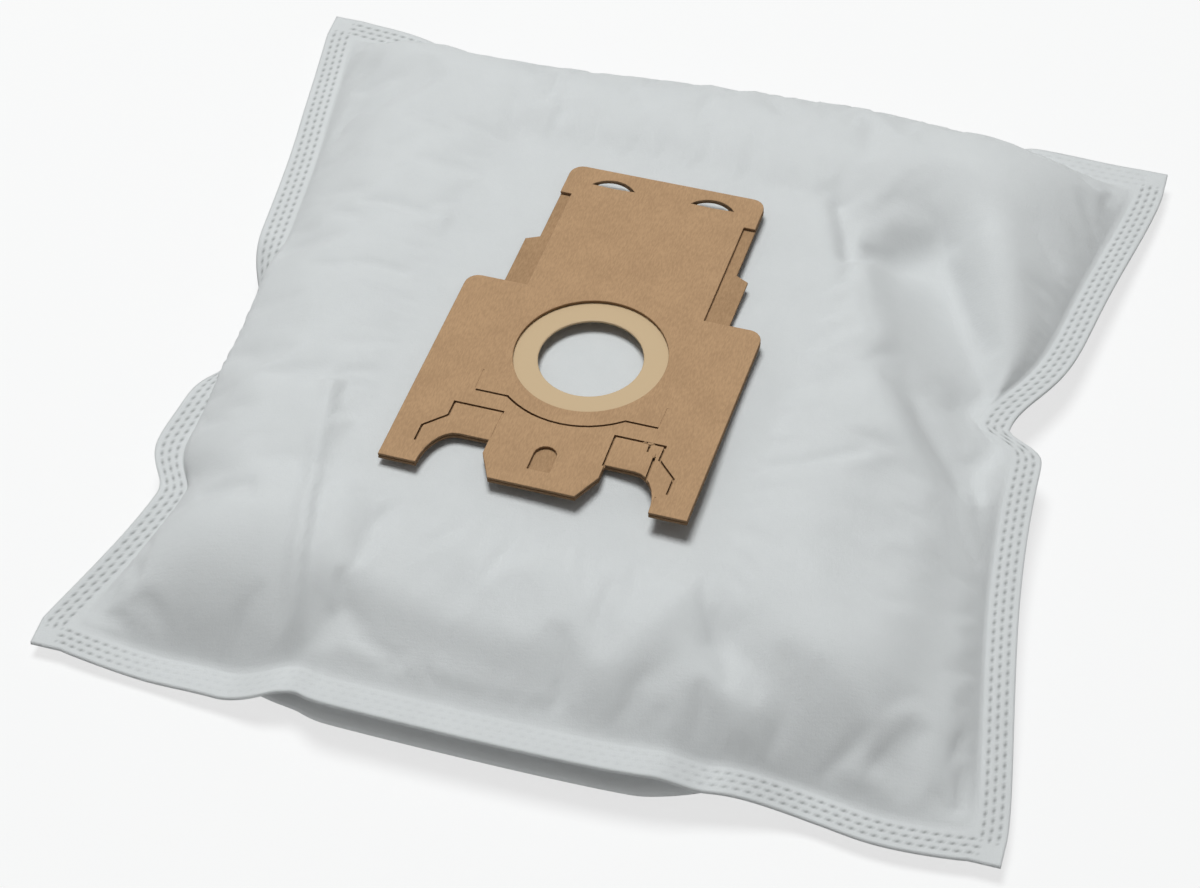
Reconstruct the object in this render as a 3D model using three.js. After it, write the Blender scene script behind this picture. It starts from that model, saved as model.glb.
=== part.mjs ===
// Vacuum cleaner dust bag: a puffed bag of two white fleece sheets, welded along four edges,
// with a two-layer cardboard collar and a rubber seal ring around its inlet.
// Millimetres, +Z up. The bag lies on its lower sheet, and the origin is on the surface below its middle.

import * as THREE from 'three';
import { mergeVertices } from 'three/addons/utils/BufferGeometryUtils.js';

// Bag, measured over its four corners.
const bagWidth = 309.5;
const bagLength = 302;
const seamMargin = 10;
const fleeceThickness = 0.9;
const weldGap = 0.36;

// Height of the puffed upper sheet above the surface that the bag lies on.
const puffHeight = 36.5;

// The four welded edges. Places along an edge run from -1 to 1, towards +x or +y.
// drawn: how far the edge is drawn in at its middle, and how sharply that fades to the corners.
// pinches: place, depth, and half width before and after it.
// weldHeights, droop: the weld's height and the angle that its margin hangs down, at places.
// climb: how the upper sheet rises from the weld: its reach inwards, steepness and slowness of start.
// swell: how far the upper sheet stands out over the weld, how far in, and its share at places.
// fall, belly: the same for the lower sheet.
const edges = {
  left: {
    drawn: { depth: 16, fade: 1.2 },
    pinches: [
      { at: -0.64, depth: 13, before: 46, after: 14 },
      { at: -0.25, depth: 5, before: 55, after: 55 },
    ],
    weldHeights: [[-1, 5], [-0.6, 14], [0, 17], [0.6, 12], [1, 7]],
    droop: [[-0.36, 0], [-0.13, 66], [0.01, 66], [0.21, 0]],
    climb: { reach: 62, steepness: 3.2, start: 1.05 },
    swell: { out: 7, at: 9, share: [[-1, 0], [-0.5, 0.3], [-0.25, 1], [0.05, 1], [0.25, 0.3], [1, 0]] },
    fall: { reach: 30, steepness: 2.6 },
    belly: { out: 8, at: 10, share: [[-1, 0], [-0.7, 1], [-0.45, 0], [0.25, 0], [0.5, 1], [1, 0]] },
  },
  right: {
    drawn: { depth: 18, fade: 1.4 },
    pinches: [{ at: 0.065, depth: 13, before: 6, after: 26 }],
    weldHeights: [[-1, 6], [-0.5, 12], [0, 16], [0.5, 12], [1, 7]],
    droop: [[-1, 0]],
    climb: { reach: 66, steepness: 3.0, start: 1.1 },
    swell: { out: 1, at: 8, share: [[-1, 0], [-0.5, 1], [0.5, 1], [1, 0]] },
    fall: { reach: 30, steepness: 2.6 },
    belly: { out: 8, at: 10, share: [[-1, 0], [-0.5, 1], [0.5, 1], [1, 0]] },
  },
  near: {
    drawn: { depth: -7, fade: 0.8 },
    pinches: [
      { at: -0.45, depth: 4, before: 9, after: 6 },
      { at: 0.62, depth: 5.5, before: 34, after: 22 },
    ],
    weldHeights: [
      [-1, 5], [-0.8, 4], [-0.62, 6], [-0.47, 13], [-0.38, 18], [0.34, 18], [0.46, 13], [0.68, 6],
    ],
    droop: [[-1, 0]],
    climb: { reach: 78, steepness: 3.4, start: 1.7 },
    swell: { out: 0, at: 8, share: [[-1, 0]] },
    fall: { reach: 24, steepness: 1.6 },
    belly: { out: 22, at: 17, share: [[-0.75, 0], [-0.42, 1], [0.3, 1], [0.7, 0]] },
  },
  far: {
    drawn: { depth: 4, fade: 1.0 },
    pinches: [{ at: -0.55, depth: 13, before: 40, after: 75 }],
    weldHeights: [[-1, 7], [-0.8, 9], [-0.6, 14], [-0.2, 18], [0.3, 18], [0.6, 12], [0.75, 9], [1, 7]],
    droop: [[-0.62, 0], [-0.4, 60], [0.6, 60], [0.75, 0]],
    climb: { reach: 52, steepness: 4.2, start: 0.95 },
    swell: { out: 4, at: 9, share: [[-1, 0], [-0.5, 1], [0.5, 1], [1, 0]] },
    fall: { reach: 30, steepness: 2.6 },
    belly: { out: 0, at: 10, share: [[-1, 0]] },
  },
};
const sides = ['left', 'right', 'near', 'far'];
const outwards = { left: [-1, 0], right: [1, 0], near: [0, -1], far: [0, 1] };
// A pinch fades inwards over this distance, and the turn of the drooping weld over the next one.
const pinchReach = 24;
const droopReach = 4;

// Broad folds of the upper sheet: from one point to another in plan, half width, and height (- is a valley).
const folds = [
  { from: [130, 10], to: [100, 20], width: 8, height: -9 },
  { from: [100, 22], to: [74, 38], width: 13, height: -8 },
  { from: [74, 70], to: [84, 30], width: 9, height: -4 },
  { from: [112, 84], to: [78, 92], width: 10, height: -5 },
  { from: [118, -12], to: [122, -110], width: 11, height: -6 },
  { from: [66, -104], to: [88, -128], width: 11, height: -7 },
  { from: [-20, -118], to: [40, -124], width: 12, height: -5 },
  { from: [44, -104], to: [30, -134], width: 7, height: 3 },
  { from: [-122, -96], to: [-92, -84], width: 12, height: -4 },
  { from: [-110, 60], to: [-96, 100], width: 16, height: -4 },
];

// Collar: where its centre is, and how it leans on the bag.
const collarCentre = new THREE.Vector3(-8.2, -18.9, 42);
const collarTurn = -2.15;
const collarSlopeX = 0.041;
const collarSlopeY = -0.0227;
const boardThickness = 1;
const layerGap = 0.3;
const glueThickness = 0.6;
// The fleece is drawn to the collar by its glue ring, lies below the boards around it,
// and comes back to its own height over the fade.
const glueClearance = 0.4;
const pressClearance = 0.6;
const pressSoftness = 2;
const seatFade = 28;

// Outline of the collar, seen from the front with its narrow end up. Half widths and heights.
const collarHalfWidth = 50.4;
const collarTop = 85.2;
const collarBottom = -59.4;
const shoulderHeight = 25.2;
const neckHalfWidth = 34.1;
const cornerRadius = 4.5;
const edgeBevel = 0.12;

// Side notches of the front board, through which the back board shows.
const notchTop = 71;
const notchHalfWidth = 30.2;
// Steps of the back board beside the neck.
const stepTop = 49.5;
const stepHalfWidth = 38.5;
const stepSlope = 2.2;

// Lower end of the collar: two legs and a tab between them.
const legInner = 38;
const archTop = -44.3;
const archRoundStart = 29;
const tabHalfWidth = 19;
const tabEndHalfWidth = 14.2;
const tabShoulder = -50;
const slotHalfWidth = 3.7;
const slotTop = -41.8;
const slotBottom = -52.4;

// Round openings.
const boardHoleRadius = 25;
const sealInnerRadius = 17;
const sealOuterRadius = 28.6;
const sealClearance = 0.3;
const sealThickness = 1;
const sealEdgeRadius = 0.4;
const fleeceHoleRadius = 24;
const glueInnerRadius = 30.5;
const glueWidth = 8.5;
const glueOuterRadius = glueInnerRadius + glueWidth;
const glueEdgeRadius = 0.27;
const glueMargin = 1;

// Crescent cuts at the narrow end, through both boards.
const crescentOffset = 17.4;
const crescentHalfChord = 7.5;
const crescentBase = 77.4;
const crescentRise = 3.6;
const crescentSag = 0.25;

// Cut lines of the front board.
const cutWidth = 0.45;
const hingeArcRadius = 31.5;
const hingeCutHeight = -24.7;
const hingeCutEnd = 30.3;
const flapCutHeight = -31.6;
const flapCutInner = 18.5;
const flapCutOuter = 34.8;
const flapCutBend = -37.6;
const flapCutLow = 41.3;
const flapCutLowTop = -44;
const flapCutLowEnd = -50.6;

// Fineness of the curved surfaces.
const columnsPerSide = 20;
const closestColumns = 0.026;
const upperRings = 9;
const lowerRings = 7;
const lowerFlatShare = 0.6;
const upperRimShare = 0.14;
const ringCrowding = 1.5;
const circleSteps = 64;
const cornerSteps = 5;
const archSteps = 7;
const crescentSteps = 10;
const slotSteps = 8;
const hingeCutSteps = 16;
const normalStep = 0.002;
const barEdgeSteps = 2;

const halfWidth = bagWidth / 2;
const halfLength = bagLength / 2;
const marginU = seamMargin / halfWidth;
const marginV = seamMargin / halfLength;

const clamp01 = (x) => Math.min(1, Math.max(0, x));
const clampTo = (x, limit) => Math.min(limit, Math.max(-limit, x));
const smooth = (x) => clamp01(x) ** 2 * (3 - 2 * clamp01(x));

// How far an edge is pinched in at place t.
function pinchAt(side, t, halfSide) {
  let pull = 0;
  for (const pinch of edges[side].pinches) {
    const width = t < pinch.at ? pinch.before : pinch.after;
    pull += pinch.depth * Math.exp(-((((t - pinch.at) * halfSide) / width) ** 2));
  }
  return pull;
}

function drawnInAt(side, t) {
  const { depth, fade } = edges[side].drawn;
  return depth * Math.max(0, 1 - t * t) ** fade;
}

// Value at place t of a line of [place, value] pairs joined by smooth steps.
function alongEdge(pairs, t) {
  let value = pairs[0][1];
  for (let i = 1; i < pairs.length; i += 1) {
    const [start, before] = pairs[i - 1];
    const [end, after] = pairs[i];
    if (t > start) value = before + (after - before) * smooth((t - start) / (end - start));
  }
  return value;
}

// Distances inwards from the four welds. They are negative in the margins.
function weldDistances(u, v) {
  return {
    left: (1 - marginU + u) * halfWidth,
    right: (1 - marginU - u) * halfWidth,
    near: (1 - marginV + v) * halfLength,
    far: (1 - marginV - v) * halfLength,
  };
}

// Places along the two pairs of edges, from corner to corner of the weld.
function edgePlaces(u, v) {
  const a = clampTo(u / (1 - marginU), 1);
  const b = clampTo(v / (1 - marginV), 1);
  return { left: b, right: b, near: a, far: a };
}

// Point of a sheet at the weld's height, one offset above or below the middle of the weld.
// u and v run from -1 to 1 across the flat sheet. bulge is the name of the sheet's bulge at the edges.
function weldPoint(u, v, bulge, offset) {
  const inU = clampTo(u, 1 - marginU);
  const inV = clampTo(v, 1 - marginV);
  const place = edgePlaces(u, v);
  const inwards = weldDistances(inU, inV);
  const beyond = weldDistances(u, v);
  const pull = {
    left: (drawnInAt('left', place.left) * (1 - inU)) / 2,
    right: (drawnInAt('right', place.right) * (1 + inU)) / 2,
    near: (drawnInAt('near', place.near) * (1 - inV)) / 2,
    far: (drawnInAt('far', place.far) * (1 + inV)) / 2,
  };
  const point = new THREE.Vector3(inU * halfWidth, inV * halfLength, weldHeight(u, v));
  const normal = new THREE.Vector3(0, 0, 1);
  for (const side of sides) {
    const halfSide = side === 'left' || side === 'right' ? halfLength : halfWidth;
    const [outX, outY] = outwards[side];
    const { out, at, share } = edges[side][bulge];
    const angle = THREE.MathUtils.degToRad(alongEdge(edges[side].droop, place[side]));
    const margin = Math.max(0, -beyond[side]);
    const pinch = pinchAt(side, place[side], halfSide) * Math.exp(-inwards[side] / pinchReach);
    const stand = ((out * inwards[side]) / at) * Math.exp(1 - inwards[side] / at);
    const outBy = stand * alongEdge(share, place[side]) + margin * Math.cos(angle) - pull[side] - pinch;
    point.x += outX * outBy;
    point.y += outY * outBy;
    point.z -= margin * Math.sin(angle);
    const turned = angle * Math.exp(-inwards[side] / droopReach);
    normal.x += outX * Math.sin(turned);
    normal.y += outY * Math.sin(turned);
    normal.z += Math.cos(turned) - 1;
  }
  return point.addScaledVector(normal.normalize(), offset);
}

// Height of the weld, carried inwards over the whole bag.
function weldHeight(u, v) {
  const place = edgePlaces(u, v);
  const p = (1 + place.near) / 2;
  const q = (1 + place.left) / 2;
  const height = {};
  for (const side of sides) height[side] = alongEdge(edges[side].weldHeights, place[side]);
  const near = edges.near.weldHeights;
  const far = edges.far.weldHeights;
  const nearCorners = (1 - p) * near[0][1] + p * near[near.length - 1][1];
  const farCorners = (1 - p) * far[0][1] + p * far[far.length - 1][1];
  const between = (1 - q) * height.near + q * height.far + (1 - p) * height.left + p * height.right;
  return between - (1 - q) * nearCorners - q * farCorners;
}

// Share of the full climb at a distance inwards from one weld.
function rise(side, distance) {
  const { reach, steepness, start } = edges[side].climb;
  return 1 - (1 - clamp01(distance / reach) ** start) ** steepness;
}

// Share of the full fall of the lower sheet.
function fall(side, distance) {
  const { reach, steepness } = edges[side].fall;
  return 1 - (1 - clamp01(distance / reach)) ** steepness;
}

function foldHeight(x, y) {
  let height = 0;
  for (const fold of folds) {
    const alongX = fold.to[0] - fold.from[0];
    const alongY = fold.to[1] - fold.from[1];
    const length = Math.hypot(alongX, alongY);
    const along = ((x - fold.from[0]) * alongX + (y - fold.from[1]) * alongY) / length;
    const across = ((x - fold.from[0]) * alongY - (y - fold.from[1]) * alongX) / length;
    const beyond = Math.max(0, -along, along - length);
    height += fold.height * Math.exp(-((across / fold.width) ** 2) - (beyond / fold.width) ** 2);
  }
  return height;
}

// Plane of the front face of the collar.
function collarPlane(x, y) {
  return collarCentre.z + collarSlopeX * (x - collarCentre.x) + collarSlopeY * (y - collarCentre.y);
}

const collarDepth = 2 * boardThickness + layerGap;
const fleeceBelowCollar = collarDepth + layerGap + glueThickness + glueClearance;
const fleeceBelowBoards = collarDepth + pressClearance;

// Outer surface of the upper sheet.
function upperPoint(u, v) {
  const point = weldPoint(u, v, 'swell', weldGap / 2 + fleeceThickness);
  const { x, y, z } = point;
  const inwards = weldDistances(u, v);
  let share = 1;
  for (const side of sides) share *= rise(side, inwards[side]);
  const folded = z + (puffHeight - z + foldHeight(x, y)) * share;
  const offCollar = Math.hypot(x - collarCentre.x, y - collarCentre.y);
  const glued = 1 - smooth((offCollar - glueOuterRadius - glueMargin) / seatFade);
  const seat = collarPlane(x, y) - fleeceBelowCollar;
  const free = folded + (seat - folded) * glued;
  const covered = 1 - smooth(distanceFromBoards(x, y) / seatFade);
  const pressed = lowerOf(free, collarPlane(x, y) - fleeceBelowBoards, pressSoftness);
  point.z = free + (pressed - free) * covered;
  return point;
}

// How far a plan point lies outside the rectangle that the boards cover.
function distanceFromBoards(x, y) {
  const angle = THREE.MathUtils.degToRad(collarTurn);
  const offX = x - collarCentre.x;
  const offY = y - collarCentre.y;
  const across = offX * Math.cos(angle) + offY * Math.sin(angle);
  const up = offY * Math.cos(angle) - offX * Math.sin(angle);
  const outX = Math.max(0, Math.abs(across) - collarHalfWidth);
  const outY = Math.max(0, up - collarTop, collarBottom - up);
  return Math.hypot(outX, outY);
}

// The lower of two heights, rounded where they meet.
function lowerOf(a, b, softness) {
  const near = Math.max(softness - Math.abs(a - b), 0) / softness;
  return Math.min(a, b) - (near * near * softness) / 4;
}

// Outer surface of the lower sheet.
function lowerPoint(u, v) {
  const point = weldPoint(u, v, 'belly', -weldGap / 2 - fleeceThickness);
  const inwards = weldDistances(u, v);
  let share = 1;
  for (const side of sides) share *= fall(side, inwards[side]);
  point.z *= 1 - share;
  return point;
}

// A point of the sheet's inner face, one thickness inwards from the outer face.
function innerPoint(surface, u, v, inwards) {
  const alongU = surface(u + normalStep, v).sub(surface(u - normalStep, v));
  const alongV = surface(u, v + normalStep).sub(surface(u, v - normalStep));
  const normal = alongU.cross(alongV).normalize();
  return surface(u, v).addScaledVector(normal, inwards * fleeceThickness);
}

// Points round the square edge of the flat sheet, closer together at the pinches.
function edgeColumns() {
  const columns = [];
  const runs = [
    { side: 'near', at: (t) => [t, -1], flip: 1, halfSide: halfWidth },
    { side: 'right', at: (t) => [1, t], flip: 1, halfSide: halfLength },
    { side: 'far', at: (t) => [-t, 1], flip: -1, halfSide: halfWidth },
    { side: 'left', at: (t) => [-1, -t], flip: -1, halfSide: halfLength },
  ];
  for (const run of runs) {
    const places = [];
    for (let i = 0; i < columnsPerSide; i += 1) places.push(-1 + (2 * i) / columnsPerSide);
    for (const { at, before, after } of edges[run.side].pinches) {
      for (const offset of [-before, -before / 2, 0, after / 2, after]) {
        places.push(run.flip * (at + offset / run.halfSide));
      }
    }
    edges[run.side].droop.forEach(([at], i, all) => {
      if (i > 0) for (const share of [0.25, 0.5, 0.75, 1]) {
        places.push(run.flip * (all[i - 1][0] + (at - all[i - 1][0]) * share));
      }
    });
    places.sort((a, b) => a - b);
    let last = -1 - closestColumns;
    for (const place of places) {
      if (place - last >= closestColumns && place < 1 - closestColumns) {
        columns.push(run.at(place));
        last = place;
      }
    }
  }
  return columns;
}

// Flat-sheet place that lies at a plan point.
function flatPlace(x, y) {
  let u = x / halfWidth;
  let v = y / halfLength;
  for (let i = 0; i < 12; i += 1) {
    const point = upperPoint(u, v);
    u += (x - point.x) / halfWidth;
    v += (y - point.y) / halfLength;
  }
  return [u, v];
}

// Closed solid from one closed loop of points for each column, the loops following each other all round.
// A loop runs out along one face and back along the other, and both are cut along the same diagonals.
function bandSolid(loops) {
  const size = loops[0].length;
  const positions = [];
  for (const loop of loops) for (const point of loop) positions.push(point.x, point.y, point.z);
  const index = [];
  for (let i = 0; i < loops.length; i += 1) {
    const next = (i + 1) % loops.length;
    for (let j = 0; j < size; j += 1) {
      const after = (j + 1) % size;
      const a = i * size + j;
      const b = i * size + after;
      const c = next * size + after;
      const d = next * size + j;
      if (j < size / 2) index.push(a, b, c, a, c, d);
      else index.push(a, b, d, b, c, d);
    }
  }
  const geometry = new THREE.BufferGeometry();
  geometry.setAttribute('position', new THREE.Float32BufferAttribute(positions, 3));
  geometry.setIndex(index);
  const merged = mergeVertices(geometry, 1e-5);
  const kept = [];
  const ids = merged.getIndex().array;
  for (let i = 0; i < ids.length; i += 3) {
    const [a, b, c] = [ids[i], ids[i + 1], ids[i + 2]];
    if (a !== b && b !== c && a !== c) kept.push(a, b, c);
  }
  merged.setIndex(kept);
  merged.computeVertexNormals();
  return merged;
}

// Flat-sheet places from the middle to the edge along one column.
function columnPlaces(start, edge, rings) {
  const weld = [edge[0] * (1 - marginU), edge[1] * (1 - marginV)];
  const places = rings.map((share) => [
    start[0] + (weld[0] - start[0]) * share,
    start[1] + (weld[1] - start[1]) * share,
  ]);
  places.push(edge);
  return places;
}

// Shares of the way from the start of a column to its weld, closer together near the weld.
function ringShares(first, count) {
  const shares = [0, first];
  for (let i = 1; i <= count; i += 1) {
    shares.push(first + (1 - first) * (1 - (1 - i / count) ** ringCrowding));
  }
  return shares;
}

function sheetLoop(surface, places, inwards) {
  const outer = places.map(([u, v]) => surface(u, v));
  const inner = places.map(([u, v]) => innerPoint(surface, u, v, inwards)).reverse();
  return inwards < 0 ? [...outer, ...inner] : [...inner.reverse(), ...outer.reverse()];
}

function upperSheetGeometry() {
  const rings = ringShares(upperRimShare, upperRings);
  const loops = edgeColumns().map((edge) => {
    const { x, y } = upperPoint(edge[0], edge[1]);
    const angle = Math.atan2(y - collarCentre.y, x - collarCentre.x);
    const rimX = collarCentre.x + fleeceHoleRadius * Math.cos(angle);
    const rimY = collarCentre.y + fleeceHoleRadius * Math.sin(angle);
    return sheetLoop(upperPoint, columnPlaces(flatPlace(rimX, rimY), edge, rings), -1);
  });
  return bandSolid(loops);
}

function lowerSheetGeometry() {
  const rings = ringShares(lowerFlatShare, lowerRings);
  const loops = edgeColumns().map((edge) => sheetLoop(lowerPoint, columnPlaces([0, 0], edge, rings), 1));
  return bandSolid(loops);
}

// Right-hand half of the outline of a board, from the middle of the narrow end down to the tab.
// The other half is its mirror image.
function boardOutline(neckPoints) {
  const half = [
    ...roundCorner([neckHalfWidth, collarTop], [-1, 0], [0, -1], cornerRadius),
    ...neckPoints,
    ...roundCorner([collarHalfWidth, shoulderHeight], [-1, 0], [0, -1], cornerRadius),
    [collarHalfWidth, collarBottom],
    [legInner, collarBottom],
    ...archPoints(),
    [tabHalfWidth, archTop],
    [tabHalfWidth, tabShoulder],
    [tabEndHalfWidth, collarBottom],
  ];
  const mirrored = half.map(([x, y]) => [-x, y]);
  return [...mirrored, ...half.reverse()].map(([x, y]) => new THREE.Vector2(x, y));
}

// Quarter round of a corner: the two directions lead from the corner along its sides.
function roundCorner(corner, first, second, radius) {
  const points = [];
  for (let i = 0; i <= cornerSteps; i += 1) {
    const angle = (i / cornerSteps) * (Math.PI / 2);
    const alongFirst = radius * (1 - Math.sin(angle));
    const alongSecond = radius * (1 - Math.cos(angle));
    points.push([
      corner[0] + first[0] * alongFirst + second[0] * alongSecond,
      corner[1] + first[1] * alongFirst + second[1] * alongSecond,
    ]);
  }
  return points;
}

// Round end of the gap between a leg and the tab, a quarter of an ellipse.
function archPoints() {
  const points = [];
  for (let i = 1; i <= archSteps; i += 1) {
    const angle = (i / archSteps) * (Math.PI / 2);
    points.push([
      archRoundStart + (legInner - archRoundStart) * Math.cos(angle),
      collarBottom + (archTop - collarBottom) * Math.sin(angle),
    ]);
  }
  return points;
}

function circlePath(radius) {
  const path = new THREE.Path();
  path.absarc(0, 0, radius, 0, Math.PI * 2, true);
  return path;
}

// Crescent: the part of a disc above a chord that sags a little.
function crescentPath(side) {
  const radius = (crescentHalfChord ** 2 + crescentRise ** 2) / (2 * crescentRise);
  const centreY = crescentBase + crescentRise - radius;
  const halfAngle = Math.asin(crescentHalfChord / radius);
  const points = [];
  for (let i = 0; i <= crescentSteps; i += 1) {
    const angle = Math.PI / 2 - halfAngle + (i / crescentSteps) * 2 * halfAngle;
    points.push(new THREE.Vector2(
      side * crescentOffset + radius * Math.cos(angle),
      centreY + radius * Math.sin(angle),
    ));
  }
  points.push(new THREE.Vector2(side * crescentOffset, crescentBase - crescentSag));
  return new THREE.Path(points.reverse());
}

// Slot of the tab: round at its upper end, square at its lower end.
function slotPath() {
  const roundCentre = slotTop - slotHalfWidth;
  const points = [new THREE.Vector2(slotHalfWidth, slotBottom)];
  for (let i = 0; i <= slotSteps; i += 1) {
    const angle = (i / slotSteps) * Math.PI;
    points.push(new THREE.Vector2(
      slotHalfWidth * Math.cos(angle),
      roundCentre + slotHalfWidth * Math.sin(angle),
    ));
  }
  points.push(new THREE.Vector2(-slotHalfWidth, slotBottom));
  return new THREE.Path(points.reverse());
}

// Narrow cut along a line of points.
function cutPath(line) {
  const left = [];
  const right = [];
  line.forEach(([x, y], i) => {
    const before = line[Math.max(0, i - 1)];
    const after = line[Math.min(line.length - 1, i + 1)];
    const into = new THREE.Vector2(x - before[0], y - before[1]).normalize();
    const out = new THREE.Vector2(after[0] - x, after[1] - y).normalize();
    const along = into.add(out).normalize();
    left.push(new THREE.Vector2(x - along.y * cutWidth / 2, y + along.x * cutWidth / 2));
    right.push(new THREE.Vector2(x + along.y * cutWidth / 2, y - along.x * cutWidth / 2));
  });
  return new THREE.Path([...left, ...right.reverse()]);
}

// Cut that follows the hole below it and runs out level on both sides.
function hingeCut() {
  const halfAngle = Math.acos(-hingeCutHeight / hingeArcRadius);
  const line = [[-hingeCutEnd, hingeCutHeight]];
  for (let i = 0; i <= hingeCutSteps; i += 1) {
    const angle = -Math.PI / 2 - halfAngle + (i / hingeCutSteps) * 2 * halfAngle;
    line.push([hingeArcRadius * Math.cos(angle), hingeArcRadius * Math.sin(angle)]);
  }
  line.push([hingeCutEnd, hingeCutHeight]);
  return cutPath(line);
}

// Bent cut above each arch.
function flapCut(side) {
  return cutPath([
    [side * flapCutInner, flapCutHeight],
    [side * flapCutOuter, flapCutHeight],
    [side * flapCutOuter, flapCutBend],
    [side * flapCutLow, flapCutLowTop],
    [side * flapCutLow, flapCutLowEnd],
  ]);
}

function boardGeometry(outline, holes) {
  const shape = new THREE.Shape(outline);
  shape.holes.push(...holes);
  const geometry = new THREE.ExtrudeGeometry(shape, {
    depth: boardThickness - 2 * edgeBevel,
    curveSegments: circleSteps / 2,
    bevelEnabled: true,
    bevelThickness: edgeBevel,
    bevelSize: edgeBevel,
    bevelOffset: -edgeBevel,
    bevelSegments: 1,
  });
  geometry.translate(0, 0, edgeBevel);
  return geometry;
}

// Ring whose section is a flat bar with rounded inner and outer edges.
function ringGeometry(innerRadius, outerRadius, thickness, edgeRadius) {
  const profile = [];
  const corners = [
    [outerRadius - edgeRadius, edgeRadius, -Math.PI / 2],
    [outerRadius - edgeRadius, thickness - edgeRadius, 0],
    [innerRadius + edgeRadius, thickness - edgeRadius, Math.PI / 2],
    [innerRadius + edgeRadius, edgeRadius, Math.PI],
  ];
  for (const [x, z, start] of corners) {
    for (let i = 0; i <= barEdgeSteps; i += 1) {
      const angle = start + (i / barEdgeSteps) * (Math.PI / 2);
      profile.push(new THREE.Vector2(x + edgeRadius * Math.cos(angle), z + edgeRadius * Math.sin(angle)));
    }
  }
  profile.push(profile[0].clone());
  const geometry = new THREE.LatheGeometry(profile, circleSteps);
  geometry.rotateX(Math.PI / 2);
  return geometry;
}

const fleeceMaterial = new THREE.MeshStandardMaterial({ color: 0xd3d4d5, roughness: 0.9, metalness: 0 });
const boardMaterial = new THREE.MeshStandardMaterial({ color: 0xb08e6b, roughness: 0.85, metalness: 0 });
const backBoardMaterial = new THREE.MeshStandardMaterial({ color: 0xa4825f, roughness: 0.85, metalness: 0 });
const sealMaterial = new THREE.MeshStandardMaterial({ color: 0xc4ab88, roughness: 0.6, metalness: 0 });
const glueMaterial = new THREE.MeshStandardMaterial({ color: 0xd8cfae, roughness: 0.5, metalness: 0 });

const bag = new THREE.Group();

function addMesh(parent, name, geometry, material) {
  const mesh = new THREE.Mesh(geometry, material);
  mesh.name = name;
  parent.add(mesh);
  return mesh;
}

addMesh(bag, 'lower_sheet', lowerSheetGeometry(), fleeceMaterial);
addMesh(bag, 'upper_sheet', upperSheetGeometry(), fleeceMaterial);

// The collar is built flat, its back face at zero height, and then laid in its leaning plane.
const collar = new THREE.Group();
const collarNormal = new THREE.Vector3(-collarSlopeX, -collarSlopeY, 1).normalize();
const turn = THREE.MathUtils.degToRad(collarTurn);
const collarUp = new THREE.Vector3(-Math.sin(turn), Math.cos(turn), 0);
collarUp.addScaledVector(collarNormal, -collarUp.dot(collarNormal)).normalize();
const collarSide = new THREE.Vector3().crossVectors(collarUp, collarNormal);
collar.setRotationFromMatrix(new THREE.Matrix4().makeBasis(collarSide, collarUp, collarNormal));
collar.position.copy(collarCentre).addScaledVector(collarNormal, -collarDepth);
bag.add(collar);

const glueRing = ringGeometry(glueInnerRadius, glueOuterRadius, glueThickness, glueEdgeRadius);
addMesh(collar, 'glue_ring', glueRing, glueMaterial).position.z = -layerGap - glueThickness;

const crescents = [crescentPath(-1), crescentPath(1)];
const backNeck = [
  [neckHalfWidth, stepTop],
  [stepHalfWidth, stepTop - stepSlope],
  [stepHalfWidth, shoulderHeight],
];
const backHole = circlePath(sealOuterRadius + sealClearance);
const backBoard = boardGeometry(boardOutline(backNeck), [backHole, ...crescents]);
addMesh(collar, 'back_board', backBoard, backBoardMaterial);

const sealRing = ringGeometry(sealInnerRadius, sealOuterRadius, sealThickness, sealEdgeRadius);
addMesh(collar, 'seal_ring', sealRing, sealMaterial);

const frontNeck = [
  [neckHalfWidth, notchTop],
  [notchHalfWidth, notchTop],
  [notchHalfWidth, shoulderHeight],
];
const frontCuts = [slotPath(), hingeCut(), flapCut(-1), flapCut(1)];
const frontHoles = [circlePath(boardHoleRadius), ...crescents, ...frontCuts];
const frontBoard = boardGeometry(boardOutline(frontNeck), frontHoles);
addMesh(collar, 'front_board', frontBoard, boardMaterial).position.z = boardThickness + layerGap;

// The origin is below the middle of the whole.
const middle = new THREE.Box3().setFromObject(bag).getCenter(new THREE.Vector3());
bag.position.set(-middle.x, -middle.y, 0);

export default bag;
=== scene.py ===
from math import cos, pi, radians, sin
import bmesh
import bpy
import numpy as np
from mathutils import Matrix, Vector


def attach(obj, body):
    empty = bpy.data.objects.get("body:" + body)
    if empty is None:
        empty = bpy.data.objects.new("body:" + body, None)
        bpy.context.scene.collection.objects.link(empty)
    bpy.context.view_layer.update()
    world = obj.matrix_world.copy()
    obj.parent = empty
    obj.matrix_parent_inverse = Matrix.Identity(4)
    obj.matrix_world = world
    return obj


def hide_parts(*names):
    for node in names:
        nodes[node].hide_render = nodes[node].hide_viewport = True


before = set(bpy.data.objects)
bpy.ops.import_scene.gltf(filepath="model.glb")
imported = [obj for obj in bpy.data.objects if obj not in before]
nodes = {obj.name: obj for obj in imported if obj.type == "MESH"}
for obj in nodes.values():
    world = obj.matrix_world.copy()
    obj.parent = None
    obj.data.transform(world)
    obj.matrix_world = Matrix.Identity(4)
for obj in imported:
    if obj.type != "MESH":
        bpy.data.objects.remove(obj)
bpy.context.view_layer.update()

# Camera: looks down on the bag from the front and a little from the right, through a long lens.
camera_place = (0.18587, -0.68543, 0.79283)
camera_azimuth = 15.91
camera_elevation = 48.70
focal_share = 3200 / 1200

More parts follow.
